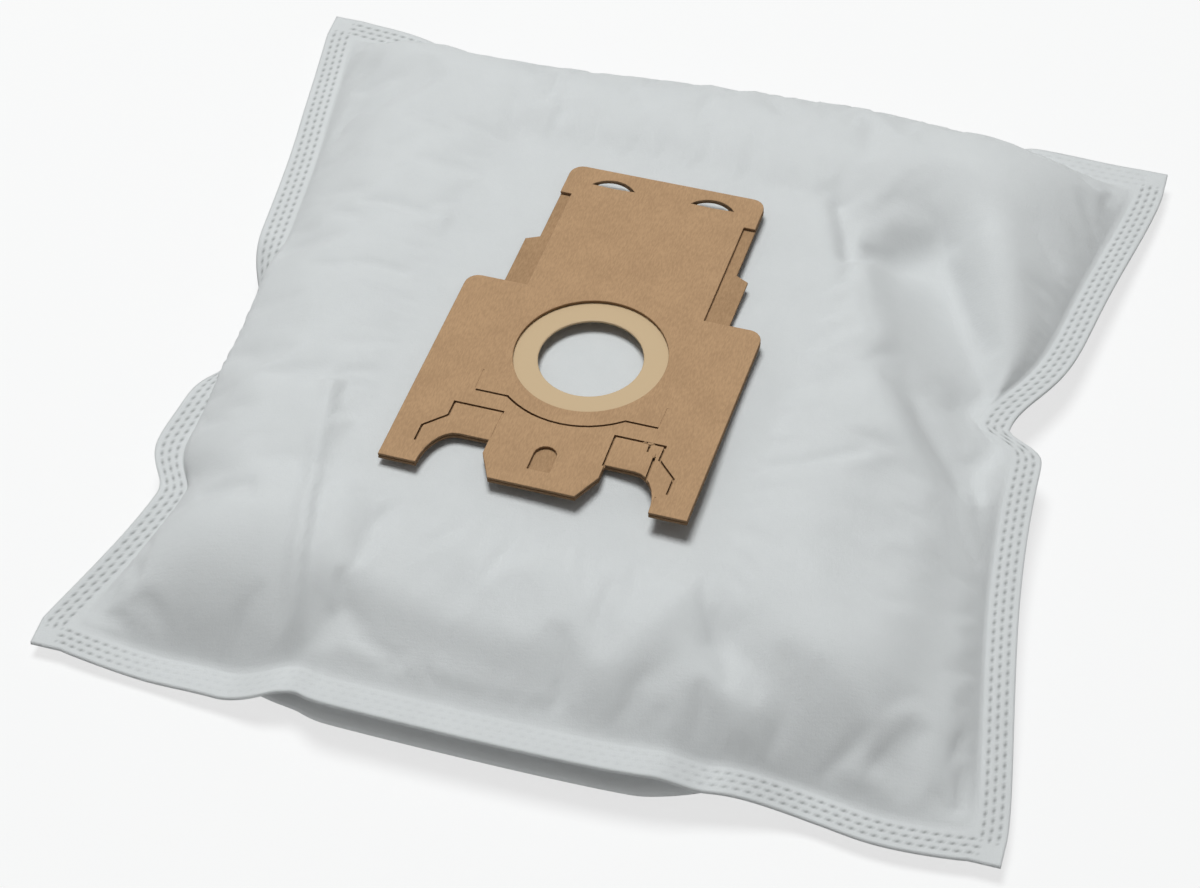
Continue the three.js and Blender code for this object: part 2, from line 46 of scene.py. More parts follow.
camera_data = bpy.data.cameras.new("photo_camera")
camera = bpy.data.objects.new("photo_camera", camera_data)
bpy.context.scene.collection.objects.link(camera)
camera.location = camera_place
camera.rotation_euler = (radians(90 - camera_elevation), 0, radians(camera_azimuth))
camera_data.sensor_fit = "HORIZONTAL"
camera_data.lens = camera_data.sensor_width * focal_share
camera_data.clip_start = 0.05
bpy.context.scene.camera = camera

# Lower fleece sheet: a square of white non-woven fleece that the bag lies on. Its rim is welded
# to the upper sheet's, and behind the weld it bulges out and down to the flat middle.
# The shape of both sheets is worked out here in millimetres. u and v run from -1 to 1 across
# the flat cloth, and places along an edge run from -1 to 1 between the corners of the weld.
cloth_width, cloth_length, seam_margin = 309.5, 302.0, 10.0
cloth_thickness, seam_thickness, weld_gap = 0.9, 0.55, 0.12
middle_y = 3.4496
half_width, half_length = cloth_width / 2, cloth_length / 2
weld_u, weld_v = 1 - seam_margin / half_width, 1 - seam_margin / half_length
pinch_reach, droop_reach, seam_fade = 24.0, 4.0, 4.0
whole_edge = [(-1, 0), (-0.5, 1), (0.5, 1), (1, 0)]
# Each edge of the weld: its way out in plan; how far its middle is drawn in, and the power of that
# curve; its pinches (place, depth, and width on either side); its height and the angle that its
# margin droops by, from place to place; how the upper sheet climbs from it and the lower one falls
# (reach, steepness, and the climb's start); and how far the upper sheet swells and the lower one
# bellies out past it (size, distance of the peak from the weld, and share from place to place).
edges = {
    "left": {
        "out": (-1, 0), "drawn": (16, 1.2),
        "pinches": [(-0.64, 13, 46, 14), (-0.25, 5, 55, 55)],
        "heights": [(-1, 5), (-0.6, 14), (0, 17), (0.6, 12), (1, 7)],
        "droop": [(-0.36, 0), (-0.13, 66), (0.01, 66), (0.21, 0)],
        "climb": (62, 3.2, 1.05), "fall": (30, 2.6),
        "swell": (7, 9, [(-1, 0), (-0.5, 0.3), (-0.25, 1), (0.05, 1), (0.25, 0.3), (1, 0)]),
        "belly": (8, 10, [(-1, 0), (-0.7, 1), (-0.45, 0), (0.25, 0), (0.5, 1), (1, 0)]),
    },
    "right": {
        "out": (1, 0), "drawn": (18, 1.4),
        "pinches": [(0.065, 13, 6, 26)],
        "heights": [(-1, 6), (-0.5, 12), (0, 16), (0.5, 12), (1, 7)],
        "droop": [(-1, 0)],
        "climb": (66, 3.0, 1.1), "fall": (30, 2.6),
        "swell": (1, 8, whole_edge), "belly": (8, 10, whole_edge),
    },
    "near": {
        "out": (0, -1), "drawn": (-7, 0.8),
        "pinches": [(-0.45, 4, 9, 6), (0.62, 5.5, 34, 22)],
        "heights": [
            (-1, 5), (-0.8, 4), (-0.62, 6), (-0.47, 13), (-0.38, 18), (0.34, 18), (0.46, 13), (0.68, 6),
        ],
        "droop": [(-1, 0)],
        "climb": (52, 3.4, 1.25), "fall": (24, 1.6),
        "swell": (0, 8, [(-1, 0)]), "belly": (22, 17, [(-0.75, 0), (-0.42, 1), (0.3, 1), (0.7, 0)]),
    },
    "far": {
        "out": (0, 1), "drawn": (4, 1.0),
        "pinches": [(-0.55, 13, 40, 75)],
        "heights": [
            (-1, 7), (-0.8, 9), (-0.6, 14), (-0.2, 18), (0.3, 18), (0.6, 12), (0.75, 9), (1, 7),
        ],
        "droop": [(-0.62, 0), (-0.4, 60), (0.6, 60), (0.75, 0)],
        "climb": (52, 4.2, 0.95), "fall": (30, 2.6),
        "swell": (4, 9, whole_edge), "belly": (0, 10, [(-1, 0)]),
    },
}


def smooth(x):
    x = np.clip(x, 0, 1)
    return x * x * (3 - 2 * x)


def along_edge(pairs, t):
    """The value at place t, smooth between the given pairs of place and value."""
    value = np.full_like(t, pairs[0][1], dtype=float)
    for (start, before), (end, after) in zip(pairs, pairs[1:]):
        between = before + (after - before) * smooth((t - start) / (end - start))
        value = np.where(t > start, between, value)
    return value


def weld_distances(u, v):
    """Distance inside the weld of each edge, negative in the margin beyond it."""
    return {
        "left": (weld_u + u) * half_width,
        "right": (weld_u - u) * half_width,
        "near": (weld_v + v) * half_length,
        "far": (weld_v - v) * half_length,
    }


def edge_places(u, v):
    a = np.clip(u / weld_u, -1, 1)
    b = np.clip(v / weld_v, -1, 1)
    return {"left": b, "right": b, "near": a, "far": a}


def weld_height(u, v):
    """Height of a sheet that hangs straight between the four edges of the weld."""
    place = edge_places(u, v)
    p, q = (1 + place["near"]) / 2, (1 + place["left"]) / 2
    height = {side: along_edge(edges[side]["heights"], place[side]) for side in edges}
    level = (1 - q) * height["near"] + q * height["far"]
    level = level + (1 - p) * height["left"] + p * height["right"]
    near, far = ((1 - p) * edges[side]["heights"][0][1] + p * edges[side]["heights"][-1][1]
                 for side in ("near", "far"))
    return level - (1 - q) * near - q * far


def weld_points(u, v, bulge, offset):
    """Places on the weld's surface, drawn in, pinched and drooping at its edges, with an offset."""
    in_u, in_v = np.clip(u, -weld_u, weld_u), np.clip(v, -weld_v, weld_v)
    place = edge_places(u, v)
    inwards, beyond = weld_distances(in_u, in_v), weld_distances(u, v)
    shares = {
        "left": (1 - in_u) / 2, "right": (1 + in_u) / 2,
        "near": (1 - in_v) / 2, "far": (1 + in_v) / 2,
    }
    point = np.stack([in_u * half_width, in_v * half_length, weld_height(u, v)])
    normal = np.stack([np.zeros_like(u), np.zeros_like(u), np.ones_like(u)])
    for side, edge in edges.items():
        t, inside = place[side], inwards[side]
        half_side = half_length if side in ("left", "right") else half_width
        depth, fade = edge["drawn"]
        pull = depth * np.maximum(0, 1 - t * t) ** fade * shares[side]
        for at, depth, before, after in edge["pinches"]:
            off = (t - at) * half_side / np.where(t < at, before, after)
            pull = pull + depth * np.exp(-off ** 2 - inside / pinch_reach)
        size, peak, places = edge[bulge]
        stand = size * inside / peak * np.exp(1 - inside / peak) * along_edge(places, t)
        angle = np.radians(along_edge(edge["droop"], t))
        margin = np.maximum(0, -beyond[side])
        out_by = stand + margin * np.cos(angle) - pull
        turned = angle * np.exp(-inside / droop_reach)
        for axis in (0, 1):
            point[axis] += edge["out"][axis] * out_by
            normal[axis] += edge["out"][axis] * np.sin(turned)
        point[2] -= margin * np.sin(angle)
        normal[2] += np.cos(turned) - 1
    return point + normal / np.linalg.norm(normal, axis=0) * offset


def nearest_weld(u, v):
    return np.minimum.reduce(list(weld_distances(u, v).values()))


def seam_share(u, v):
    """1 in the welded margin, 0 a few millimetres inside it."""
    return 1 - smooth(nearest_weld(u, v) / seam_fade)


def lower_points(u, v):
    offset = weld_gap / 2 + cloth_thickness + (seam_thickness - cloth_thickness) * seam_share(u, v)
    point = weld_points(u, v, "belly", -offset)
    share = 1
    for side, distance in weld_distances(u, v).items():
        reach, steepness = edges[side]["fall"]
        share = share * (1 - (1 - np.clip(distance / reach, 0, 1)) ** steepness)
    point[2] *= 1 - share
    return point


# The cloth starts as a flat grid whose rows fit the weld line. Its UV map is the flat cloth.
cells_wide, cells_long, margin_cells = 176, 172, 6


def flat_place(share, cells, length):
    k = share * cells
    step = (length - 2 * seam_margin) / (cells - 2 * margin_cells)
    place = seam_margin + (k - margin_cells) * step
    place = np.where(k < margin_cells, k * seam_margin / margin_cells, place)
    last = length - (cells - k) * seam_margin / margin_cells
    return np.where(k > cells - margin_cells, last, place)


def new_cloth(name, coarse=1, inset=0):
    bpy.ops.object.select_all(action="DESELECT")
    bpy.ops.mesh.primitive_grid_add(
        x_subdivisions=cells_wide // coarse, y_subdivisions=cells_long // coarse, size=1)
    cloth = bpy.context.object
    cloth.name = cloth.data.name = name
    co = np.empty(len(cloth.data.vertices) * 3)
    cloth.data.vertices.foreach_get("co", co)
    co = co.reshape(-1, 3) + 0.5
    u = (flat_place(co[:, 0], cells_wide, cloth_width) / half_width - 1) * (1 - inset / half_width)
    v = (flat_place(co[:, 1], cells_long, cloth_length) / half_length - 1) * (1 - inset / half_length)
    corner = np.empty(len(cloth.data.loops), dtype=int)
    cloth.data.loops.foreach_get("vertex_index", corner)
    uv = np.stack([(u[corner] + 1) / 2, (v[corner] + 1) / 2], axis=1)
    cloth.data.uv_layers[0].data.foreach_set("uv", uv.ravel())
    return cloth, u, v


def set_points(piece, points):
    piece.data.vertices.foreach_set("co", np.ascontiguousarray(points.T).ravel())
    piece.data.update()


def to_metres(point):
    return (point + np.array([[0], [middle_y], [0]])) * 0.001


def modifier(piece, kind, **settings):
    bpy.ops.object.select_all(action="DESELECT")
    piece.select_set(True)
    bpy.context.view_layer.objects.active = piece
    added = piece.modifiers.new(kind.lower(), kind)
    for key, value in settings.items():
        setattr(added, key, value)
    bpy.ops.object.modifier_apply(modifier=added.name)


def add_weights(piece, name, weights, steps):
    group = piece.vertex_groups.new(name=name)
    rounded = np.round(weights * steps)
    for step in np.unique(rounded):
        group.add([int(i) for i in np.nonzero(rounded == step)[0]], step / steps, "REPLACE")


# The loose cloth is crumpled by a cloth simulation: it grows a little between the places that
# hold it, so that it buckles as slack fleece does. It runs ten times as large as the bag, and a
# point then moves by no more than its limit.
trial_scale, pin_steps = 10, 10


def crumple(cloth, held, growth, pressure, stiffness, frames, limit):
    start = np.empty(len(cloth.data.vertices) * 3)
    cloth.data.vertices.foreach_get("co", start)
    trial = bpy.data.objects.new("trial", cloth.data.copy())
    bpy.context.scene.collection.objects.link(trial)
    trial.data.vertices.foreach_set("co", start * trial_scale)
    add_weights(trial, "pins", held, pin_steps)
    cloth_modifier = trial.modifiers.new("cloth", "CLOTH")
    settings = cloth_modifier.settings
    settings.quality = 6
    settings.mass = 0.3
    settings.tension_stiffness = settings.compression_stiffness = 20
    settings.shear_stiffness = 10
    settings.bending_stiffness = stiffness
    settings.vertex_group_mass = "pins"
    settings.shrink_min = -growth
    settings.use_pressure = True
    settings.uniform_pressure_force = pressure
    settings.effector_weights.gravity = 0
    cloth_modifier.point_cache.frame_start = 1
    cloth_modifier.point_cache.frame_end = frames
    for number in range(1, frames + 1):
        bpy.context.scene.frame_set(number)
    result = trial.evaluated_get(bpy.context.evaluated_depsgraph_get())
    moved = np.empty(len(start))
    result.data.vertices.foreach_get("co", moved)
    move = (moved / trial_scale - start).reshape(-1, 3)
    length = np.linalg.norm(move, axis=1, keepdims=True)
    limit = limit[:, None]
    move *= limit / np.sqrt(limit * limit + length * length + 1e-12)
    bpy.data.objects.remove(trial)
    bpy.context.scene.frame_set(1)
    cloth.data.vertices.foreach_set("co", (start.reshape(-1, 3) + move).ravel())
    cloth.data.update()


# Weld dots: three rows of short dashes, staggered, pressed into the margin from both sides. Rows
# are counted in fine cells from the cloth's edge, and dashes in fine cells along it. Along most of
# the near edge and at the far edge's right end the dots are faint. Those values are shares of an
# edge, from the left.
dot_rows, dot_depth, dash_depths = (3, 6, 9), 0.28, (1.0, 0.4, 0.0, 0.4)
row_slack, column_slack = 0.1, 0.2
near_faint, near_faint_from, near_faint_to, near_faint_fade = 0.88, 0.04, 0.78, 0.12
far_faint, far_faint_from, far_faint_fade = 0.8, 0.6, 0.2


def press_weld_dots(cloth):
    mesh = bmesh.new()
    mesh.from_mesh(cloth.data)
    layer = mesh.loops.layers.uv[0]
    margin_faces = []
    for face in mesh.faces:
        u = sum(loop[layer].uv.x for loop in face.loops) / len(face.loops)
        v = sum(loop[layer].uv.y for loop in face.loops) / len(face.loops)
        edge = min(min(u, 1 - u) * cloth_width, min(v, 1 - v) * cloth_length)
        if edge < seam_margin:
            margin_faces.append(face)
    cut = list({e for face in margin_faces for e in face.edges})
    bmesh.ops.subdivide_edges(mesh, edges=cut, cuts=1, use_grid_fill=True)
    mesh.normal_update()
    dent = mesh.verts.layers.float.new("dent")
    fine = seam_margin / (2 * margin_cells)
    for vert in mesh.verts:
        place = vert.link_loops[0][layer].uv
        across = (min(place.x, 1 - place.x) * cloth_width, min(place.y, 1 - place.y) * cloth_length)
        side = 0 if across[0] < across[1] else 1
        if across[side] > seam_margin + row_slack:
            continue
        row = round(across[side] / fine)
        length, cells = ((cloth_length, cells_long), (cloth_width, cells_wide))[side]
        step = (length - 2 * seam_margin) / (cells - 2 * margin_cells) / 2
        along = ((place.y, place.x)[side] * length - seam_margin) / step
        column = round(along)
        if row in dot_rows and abs(along - column) < column_slack:
            stagger = len(dash_depths) // 2 if row == dot_rows[1] else 0
            faint = 0.0
            if side == 1 and place.y < 0.5:
                rise = smooth((place.x - near_faint_from) / near_faint_fade)
                fall = smooth((near_faint_to - place.x) / near_faint_fade)
                faint = near_faint * rise * fall
            elif side == 1:
                faint = far_faint * smooth((place.x - far_faint_from) / far_faint_fade)
            vert[dent] = dash_depths[(column + stagger) % len(dash_depths)] * (1 - faint)
    dented = [vert for vert in mesh.verts if vert[dent] > 0]
    for vert, normal in [(vert, vert.normal.copy()) for vert in dented]:
        vert.co += normal * (-vert[dent] * dot_depth * 0.001)
    mesh.to_mesh(cloth.data)
    mesh.free()


# The sheet is thinner in the weld margin and thinnest at the dots, so that its hidden face stays
# level there and clear of the other sheet.
thickness_steps = 100


def add_thickness(cloth):
    thinnest = (seam_thickness - dot_depth) / cloth_thickness
    uv = cloth.data.uv_layers[0].data
    place = {}
    for loop in cloth.data.loops:
        place[loop.vertex_index] = uv[loop.index].uv
    u = np.array([place[i].x for i in range(len(cloth.data.vertices))]) * 2 - 1
    v = np.array([place[i].y for i in range(len(cloth.data.vertices))]) * 2 - 1
    dent = np.empty(len(cloth.data.vertices))
    cloth.data.attributes["dent"].data.foreach_get("value", dent)
    thickness = cloth_thickness - (cloth_thickness - seam_thickness) * seam_share(u, v)
    share = (thickness - dot_depth * dent) / cloth_thickness
    add_weights(cloth, "thick", (share - thinnest) / (1 - thinnest), thickness_steps)
    modifier(cloth, "SOLIDIFY", thickness=cloth_thickness * 0.001, offset=-1, vertex_group="thick",
             thickness_vertex_group=thinnest)


# Fleece: dull white, a little see-through, with a fine bonded grain, stray fibres, and weld dots
# that are pressed glassy and so look darker; their colour also paints the shade in their pits. Its
# pattern is in millimetres of the flat cloth.
fleece_dark, fleece_light = (0.75, 0.762, 0.768, 1), (0.86, 0.872, 0.878, 1)
dot_glass_and_shade_colour, see_through = (0.4, 0.405, 0.41, 1), 0.26
bond_pitch, bond_turn = 1.5, 38
fibre_height, pit_height, dent_height = 0.8, 0.06, 1.2


def fleece_material():
    material = bpy.data.materials.new("white_fleece")
    material.use_nodes = True
    tree = material.node_tree
    tree.nodes.clear()
    add, link = tree.nodes.new, tree.links.new
    out = add("ShaderNodeOutputMaterial")
    skin = add("ShaderNodeBsdfPrincipled")
    glow = add("ShaderNodeBsdfTranslucent")
    mix = add("ShaderNodeMixShader")
    mix.inputs["Fac"].default_value = see_through
    skin.inputs["Roughness"].default_value = 0.9
    skin.inputs["Specular IOR Level"].default_value = 0.25
    skin.inputs["Sheen Weight"].default_value = 0.15
    skin.inputs["Sheen Roughness"].default_value = 0.6
    coords = add("ShaderNodeUVMap")
    place = add("ShaderNodeMapping")
    place.inputs["Scale"].default_value = (cloth_width, cloth_length, 1)
    link(coords.outputs["UV"], place.inputs["Vector"])

    def noise(scale, detail, rough):
        node = add("ShaderNodeTexNoise")
        node.inputs["Scale"].default_value = scale
        node.inputs["Detail"].default_value = detail
        node.inputs["Roughness"].default_value = rough
        link(place.outputs["Vector"], node.inputs["Vector"])
        return node.outputs["Fac"]

    def maths(kind, *values):
        node = add("ShaderNodeMath")
        node.operation = kind
        for slot, value in enumerate(values):
            if isinstance(value, (int, float)):
                node.inputs[slot].default_value = value
            else:
                link(value, node.inputs[slot])
        return node.outputs[0]

    # Bond points: a fine diagonal lattice of tiny pits.
    turned = add("ShaderNodeMapping")
    turned.inputs["Rotation"].default_value = (0, 0, radians(bond_turn))
    link(place.outputs["Vector"], turned.inputs["Vector"])
    split = add("ShaderNodeSeparateXYZ")
    link(turned.outputs["Vector"], split.inputs[0])
    wave_x = maths("SINE", maths("MULTIPLY", split.outputs[0], 2 * pi / bond_pitch))
    wave_y = maths("SINE", maths("MULTIPLY", split.outputs[1], 2 * pi / bond_pitch))
    pits = maths("MULTIPLY", wave_x, wave_y)
    fibres = noise(scale=2.2, detail=6, rough=0.65)
    clouds = noise(scale=0.06, detail=4, rough=0.6)
    lumps = noise(scale=0.5, detail=3, rough=0.6)
    dent = add("ShaderNodeAttribute")
    dent.attribute_name = "dent"
    rough = maths("ADD", maths("MULTIPLY", fibres, fibre_height), lumps)
    height = maths("ADD", maths("MULTIPLY", pits, pit_height), rough)
    height = maths("SUBTRACT", height, maths("MULTIPLY", dent.outputs["Fac"], dent_height))
    bump = add("ShaderNodeBump")
    bump.inputs["Strength"].default_value = 0.35
    bump.inputs["Distance"].default_value = 0.0003
    link(height, bump.inputs["Height"])
    shade = maths("ADD", maths("MULTIPLY", fibres, 0.5), maths("MULTIPLY", clouds, 0.5))
    tone = add("ShaderNodeMix")
    tone.data_type = "RGBA"
    tone.inputs["A"].default_value = fleece_dark
    tone.inputs["B"].default_value = fleece_light
    link(shade, tone.inputs["Factor"])
    # The weld dots' colour: glassy fused fleece, and painted shade in the dots' pits.
    dotted = add("ShaderNodeMix")
    dotted.data_type = "RGBA"
    dotted.inputs["B"].default_value = dot_glass_and_shade_colour
    link(dent.outputs["Fac"], dotted.inputs["Factor"])
    link(tone.outputs["Result"], dotted.inputs["A"])
    for shader in (skin.inputs["Base Color"], glow.inputs["Color"]):
        link(dotted.outputs["Result"], shader)
    for shader in (skin, glow):
        link(bump.outputs["Normal"], shader.inputs["Normal"])
        link(shader.outputs[0], mix.inputs[1 if shader is skin else 2])
    link(mix.outputs[0], out.inputs["Surface"])
    return material


fleece = fleece_material()
lower, u, v = new_cloth("lower_fleece")
set_points(lower, to_metres(lower_points(u, v)))
lower.data.flip_normals()
press_weld_dots(lower)
add_thickness(lower)
lower.data.materials.append(fleece)
lower.data.shade_smooth()
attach(lower, "root")
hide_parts("lower_sheet")

# Upper fleece sheet: the same cut, puffed up by the air in the bag, with a round hole below the
# collar. It is glued to the collar around the hole and folds where the cloth is slack.
collar_x, collar_y, collar_z = -8.2, -18.9, 42.0
collar_slope_x, collar_slope_y, collar_turn = 0.041, -0.0227, -2.15
puff_height, fleece_hole, hole_reach = 36.5, 24.0, 1.3
glue_radius, seat_fade = 40.0, 28.0
below_glue, below_boards, press_softness = 3.6, 2.9, 2.0
boards_half_width, boards_top, boards_bottom = 50.4, 85.2, -59.4
# Folds: from one point to another in plan, the widths of their right and left flanks seen along
# them, and their height, where - is a valley.
folds = [
    (93, 62, 121, 6, 27, 11, -20), (132, 10, 112, 14, 8, 8, -6), (74, 66, 92, 84, 8, 9, -4),
    (58, 62, 92, -14, 14, 6, 4), (52, 76, 60, 54, 3.5, 4, -3.5), (84, 8, 112, -22, 7, 8, -5),
    (112, 90, 84, 96, 10, 10, -3), (118, -12, 122, -110, 12, 10, -8),
    (62, -112, 96, -132, 12, 10, -8), (44, -104, 30, -134, 7, 7, 3),
    (-56, -132, 14, -140, 9, 9, -9), (-122, -96, -92, -84, 12, 12, -2.5),
    (-126, 20, -124, 96, 11, 9, -9), (-128, -60, -126, 10, 8, 8, -4),
    (-85, -50, -70, -134, 2.8, 2.6, 3), (-66, -90, -60, -132, 6, 6, 2), (-112, -98, -97, -95, 3, 3, -2),
]


def fold_height(x, y):
    height = 0
    for from_x, from_y, to_x, to_y, right_width, left_width, size in folds:
        length = np.hypot(to_x - from_x, to_y - from_y)
        ax, ay = (to_x - from_x) / length, (to_y - from_y) / length
        along = (x - from_x) * ax + (y - from_y) * ay
        across = (x - from_x) * ay - (y - from_y) * ax
        width = np.where(across > 0, right_width, left_width)
        beyond = np.maximum(0, np.maximum(-along, along - length)) / max(right_width, left_width)
        height = height + size * np.exp(-(across / width) ** 2 - beyond ** 2)
    return height


def collar_plane(x, y):
    return collar_z + collar_slope_x * (x - collar_x) + collar_slope_y * (y - collar_y)


def collar_cover(x, y):
    """1 below the boards, falling to 0 at the fade's end."""
    turn = radians(collar_turn)
    across = (x - collar_x) * cos(turn) + (y - collar_y) * sin(turn)
    up = (y - collar_y) * cos(turn) - (x - collar_x) * sin(turn)
    out_x = np.maximum(0, abs(across) - boards_half_width)
    out_y = np.maximum(0, np.maximum(up - boards_top, boards_bottom - up))
    return 1 - smooth(np.hypot(out_x, out_y) / seat_fade)


def upper_points(u, v):
    offset = weld_gap / 2 + cloth_thickness + (seam_thickness - cloth_thickness) * seam_share(u, v)
    point = weld_points(u, v, "swell", offset)
    x, y, z = point
    share = 1
    for side, distance in weld_distances(u, v).items():
        reach, steepness, start = edges[side]["climb"]
        share = share * (1 - (1 - np.clip(distance / reach, 0, 1) ** start) ** steepness)
    folded = z + (puff_height - z + fold_height(x, y)) * share
    glued = 1 - smooth((np.hypot(x - collar_x, y - collar_y) - glue_radius) / seat_fade)
    plane = collar_plane(x, y)
    free = folded + (plane - below_glue - folded) * glued
    covered = collar_cover(x, y)
    ceiling = plane - below_boards
    near = np.maximum(press_softness - abs(free - ceiling), 0) / press_softness
    pressed = np.minimum(free, ceiling) - near * near * press_softness / 4
    point[2] = free + (pressed - free) * covered
    return point


def cut_fleece_hole(cloth):
    """Take out the cells below the inlet and draw the hole's ragged rim out to a circle."""
    mesh = bmesh.new()
    mesh.from_mesh(cloth.data)
    centre = np.array([collar_x, collar_y + middle_y]) * 0.001
    radius = fleece_hole * 0.001

    def distance(place):
        return np.hypot(*(np.array(place[:2]) - centre))

    gone = [face for face in mesh.faces if distance(face.calc_center_median()) < radius]
    bmesh.ops.delete(mesh, geom=gone, context="FACES")
    for vert in mesh.verts:
        if vert.is_boundary and distance(vert.co) < radius * hole_reach:
            off = np.array(vert.co[:2]) - centre
            vert.co[:2] = centre + off * radius / np.hypot(*off)
    mesh.to_mesh(cloth.data)
    mesh.free()


# The fleece swells up through the two crescent cuts at the collar's narrow end, in two steps: each
# is a distance from the cut's rim and its share of the swell.
crescent_offset, crescent_half_chord, crescent_base, crescent_rise = 17.4, 7.5, 77.4, 3.6
crescent_clearance, crescent_swell, crescent_reach = 0.3, 2.6, 1
crescent_steps, crescent_cuts = [(0.4, 0.8), (1.2, 0.2)], 4


def on_collar(co):
    """Place on the collar, seen from the front with its narrow end up, in millimetres."""
    x, y = co[0] * 1000 - collar_x, co[1] * 1000 - middle_y - collar_y
    turn = radians(collar_turn)
    return x * cos(turn) + y * sin(turn), y * cos(turn) - x * sin(turn)


def swell_through_crescents(cloth):
    mesh = bmesh.new()
    mesh.from_mesh(cloth.data)
    radius = (crescent_half_chord ** 2 + crescent_rise ** 2) / (2 * crescent_rise)
    arc_y = crescent_base + crescent_rise - radius
    faces = []
    for face in mesh.faces:
        x, y = on_collar(face.calc_center_median())
        beside, above = abs(abs(x) - crescent_offset), y - crescent_base
        near_chord = beside < crescent_half_chord + crescent_reach
        if near_chord and -crescent_reach < above < crescent_rise + crescent_reach:
            faces.append(face)
    cut = list({edge for face in faces for edge in face.edges})
    bmesh.ops.subdivide_edges(mesh, edges=cut, cuts=crescent_cuts, use_grid_fill=True)
    for vert in mesh.verts:
        x, y = on_collar(vert.co)
        below_arc = radius - np.hypot(abs(x) - crescent_offset, y - arc_y)
        inside = min(below_arc, y - crescent_base) - crescent_clearance
        if inside > 0:
            plane = collar_plane(vert.co.x * 1000, vert.co.y * 1000 - middle_y)
            top = plane - below_boards + crescent_swell
            lift = float(sum(smooth(inside / width) * share for width, share in crescent_steps))
            vert.co.z += max(0, top * 0.001 - vert.co.z) * lift
    mesh.to_mesh(cloth.data)
    mesh.free()


# The inner fleece layer lies this share of the way from the lower sheet up to the upper one: it
# rests on the lower sheet along its rim, and comes up towards the inlet.
inner_inset, inner_thickness, inner_slope = 30.0, 0.5, 40.0
inner_foot, inner_share, inner_lift = 0.08, 0.6, 0.33


def share_of_inner(u, v, high):
    middle = inner_share + inner_lift * collar_cover(high[0], high[1])
    inside = nearest_weld(u, v) - (inner_inset - seam_margin)
    return inner_foot + (middle - inner_foot) * smooth(inside / inner_slope)


# The sheet is held in a strip along the weld, which fades out, and below the collar. In between it
# crumples, and stays clear of the inner layer.
held_strip, held_fade, held_gain, held_start = 1, 6, 1.6, 0.4
crumple_limit, inner_clearance = 4, 1.5


upper, u, v = new_cloth("upper_fleece")
points = upper_points(u, v)
set_points(upper, to_metres(points))
held_at_weld = 1 - smooth((nearest_weld(u, v) - held_strip) / held_fade)
held_at_collar = smooth(collar_cover(points[0], points[1]) * held_gain - held_start)
apart = np.linalg.norm(points - lower_points(u, v), axis=0)
room = (1 - share_of_inner(u, v, points)) * apart - inner_clearance
crumple(upper, np.maximum(held_at_weld, held_at_collar), growth=0.016, pressure=0.3, stiffness=0.6,
        frames=20, limit=np.clip(room, 0, crumple_limit) * 0.001)
cut_fleece_hole(upper)
press_weld_dots(upper)
swell_through_crescents(upper)
add_thickness(upper)
upper.data.materials.append(fleece)
upper.data.shade_smooth()
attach(upper, "root")
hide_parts("upper_sheet")

# Inner fleece layer: the innermost layer of the lower fleece, which lies loose in the bag. It rests
# on the lower sheet along its rim and comes up below the inlet, where it is seen through the ring.
inner, u, v = new_cloth("inner_fleece", coarse=2, inset=inner_inset)
low, high = lower_points(u, v), upper_points(u, v)
set_points(inner, to_metres(low + (high - low) * share_of_inner(u, v, high)))
modifier(inner, "SOLIDIFY", thickness=inner_thickness * 0.001, offset=0)
inner.data.materials.append(fleece)
inner.data.shade_smooth()
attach(inner, "root")


# Glue ring: a bead of hot-melt glue, laid around the hole in the upper fleece. It holds the collar
# to the bag, and is hidden between the fleece and the back board.
def dress(node, material):
    piece = nodes[node]
    for slot in piece.material_slots:
        slot.material = material
    if not piece.material_slots:
        piece.data.materials.append(material)


def plain_material(name, colour, roughness):
    material = bpy.data.materials.new(name)
    material.use_nodes = True
    skin = material.node_tree.nodes["Principled BSDF"]
    skin.inputs["Base Color"].default_value = colour
    skin.inputs["Roughness"].default_value = roughness
    return material


glue = plain_material("hot_melt_glue", colour=(0.69, 0.62, 0.42, 1), roughness=0.4)
dress("glue_ring", glue)

# Back board: the collar's lower layer of brown kraft cardboard, die-cut, glued to the fleece around
# the inlet. It is a little wider beside the collar's narrow end, so it shows in the side notches.
# The cardboard's pattern is fibres along the collar, mixed with some clouds.
fibre_share, cloud_share, grain = 0.7, 0.3, 0.12


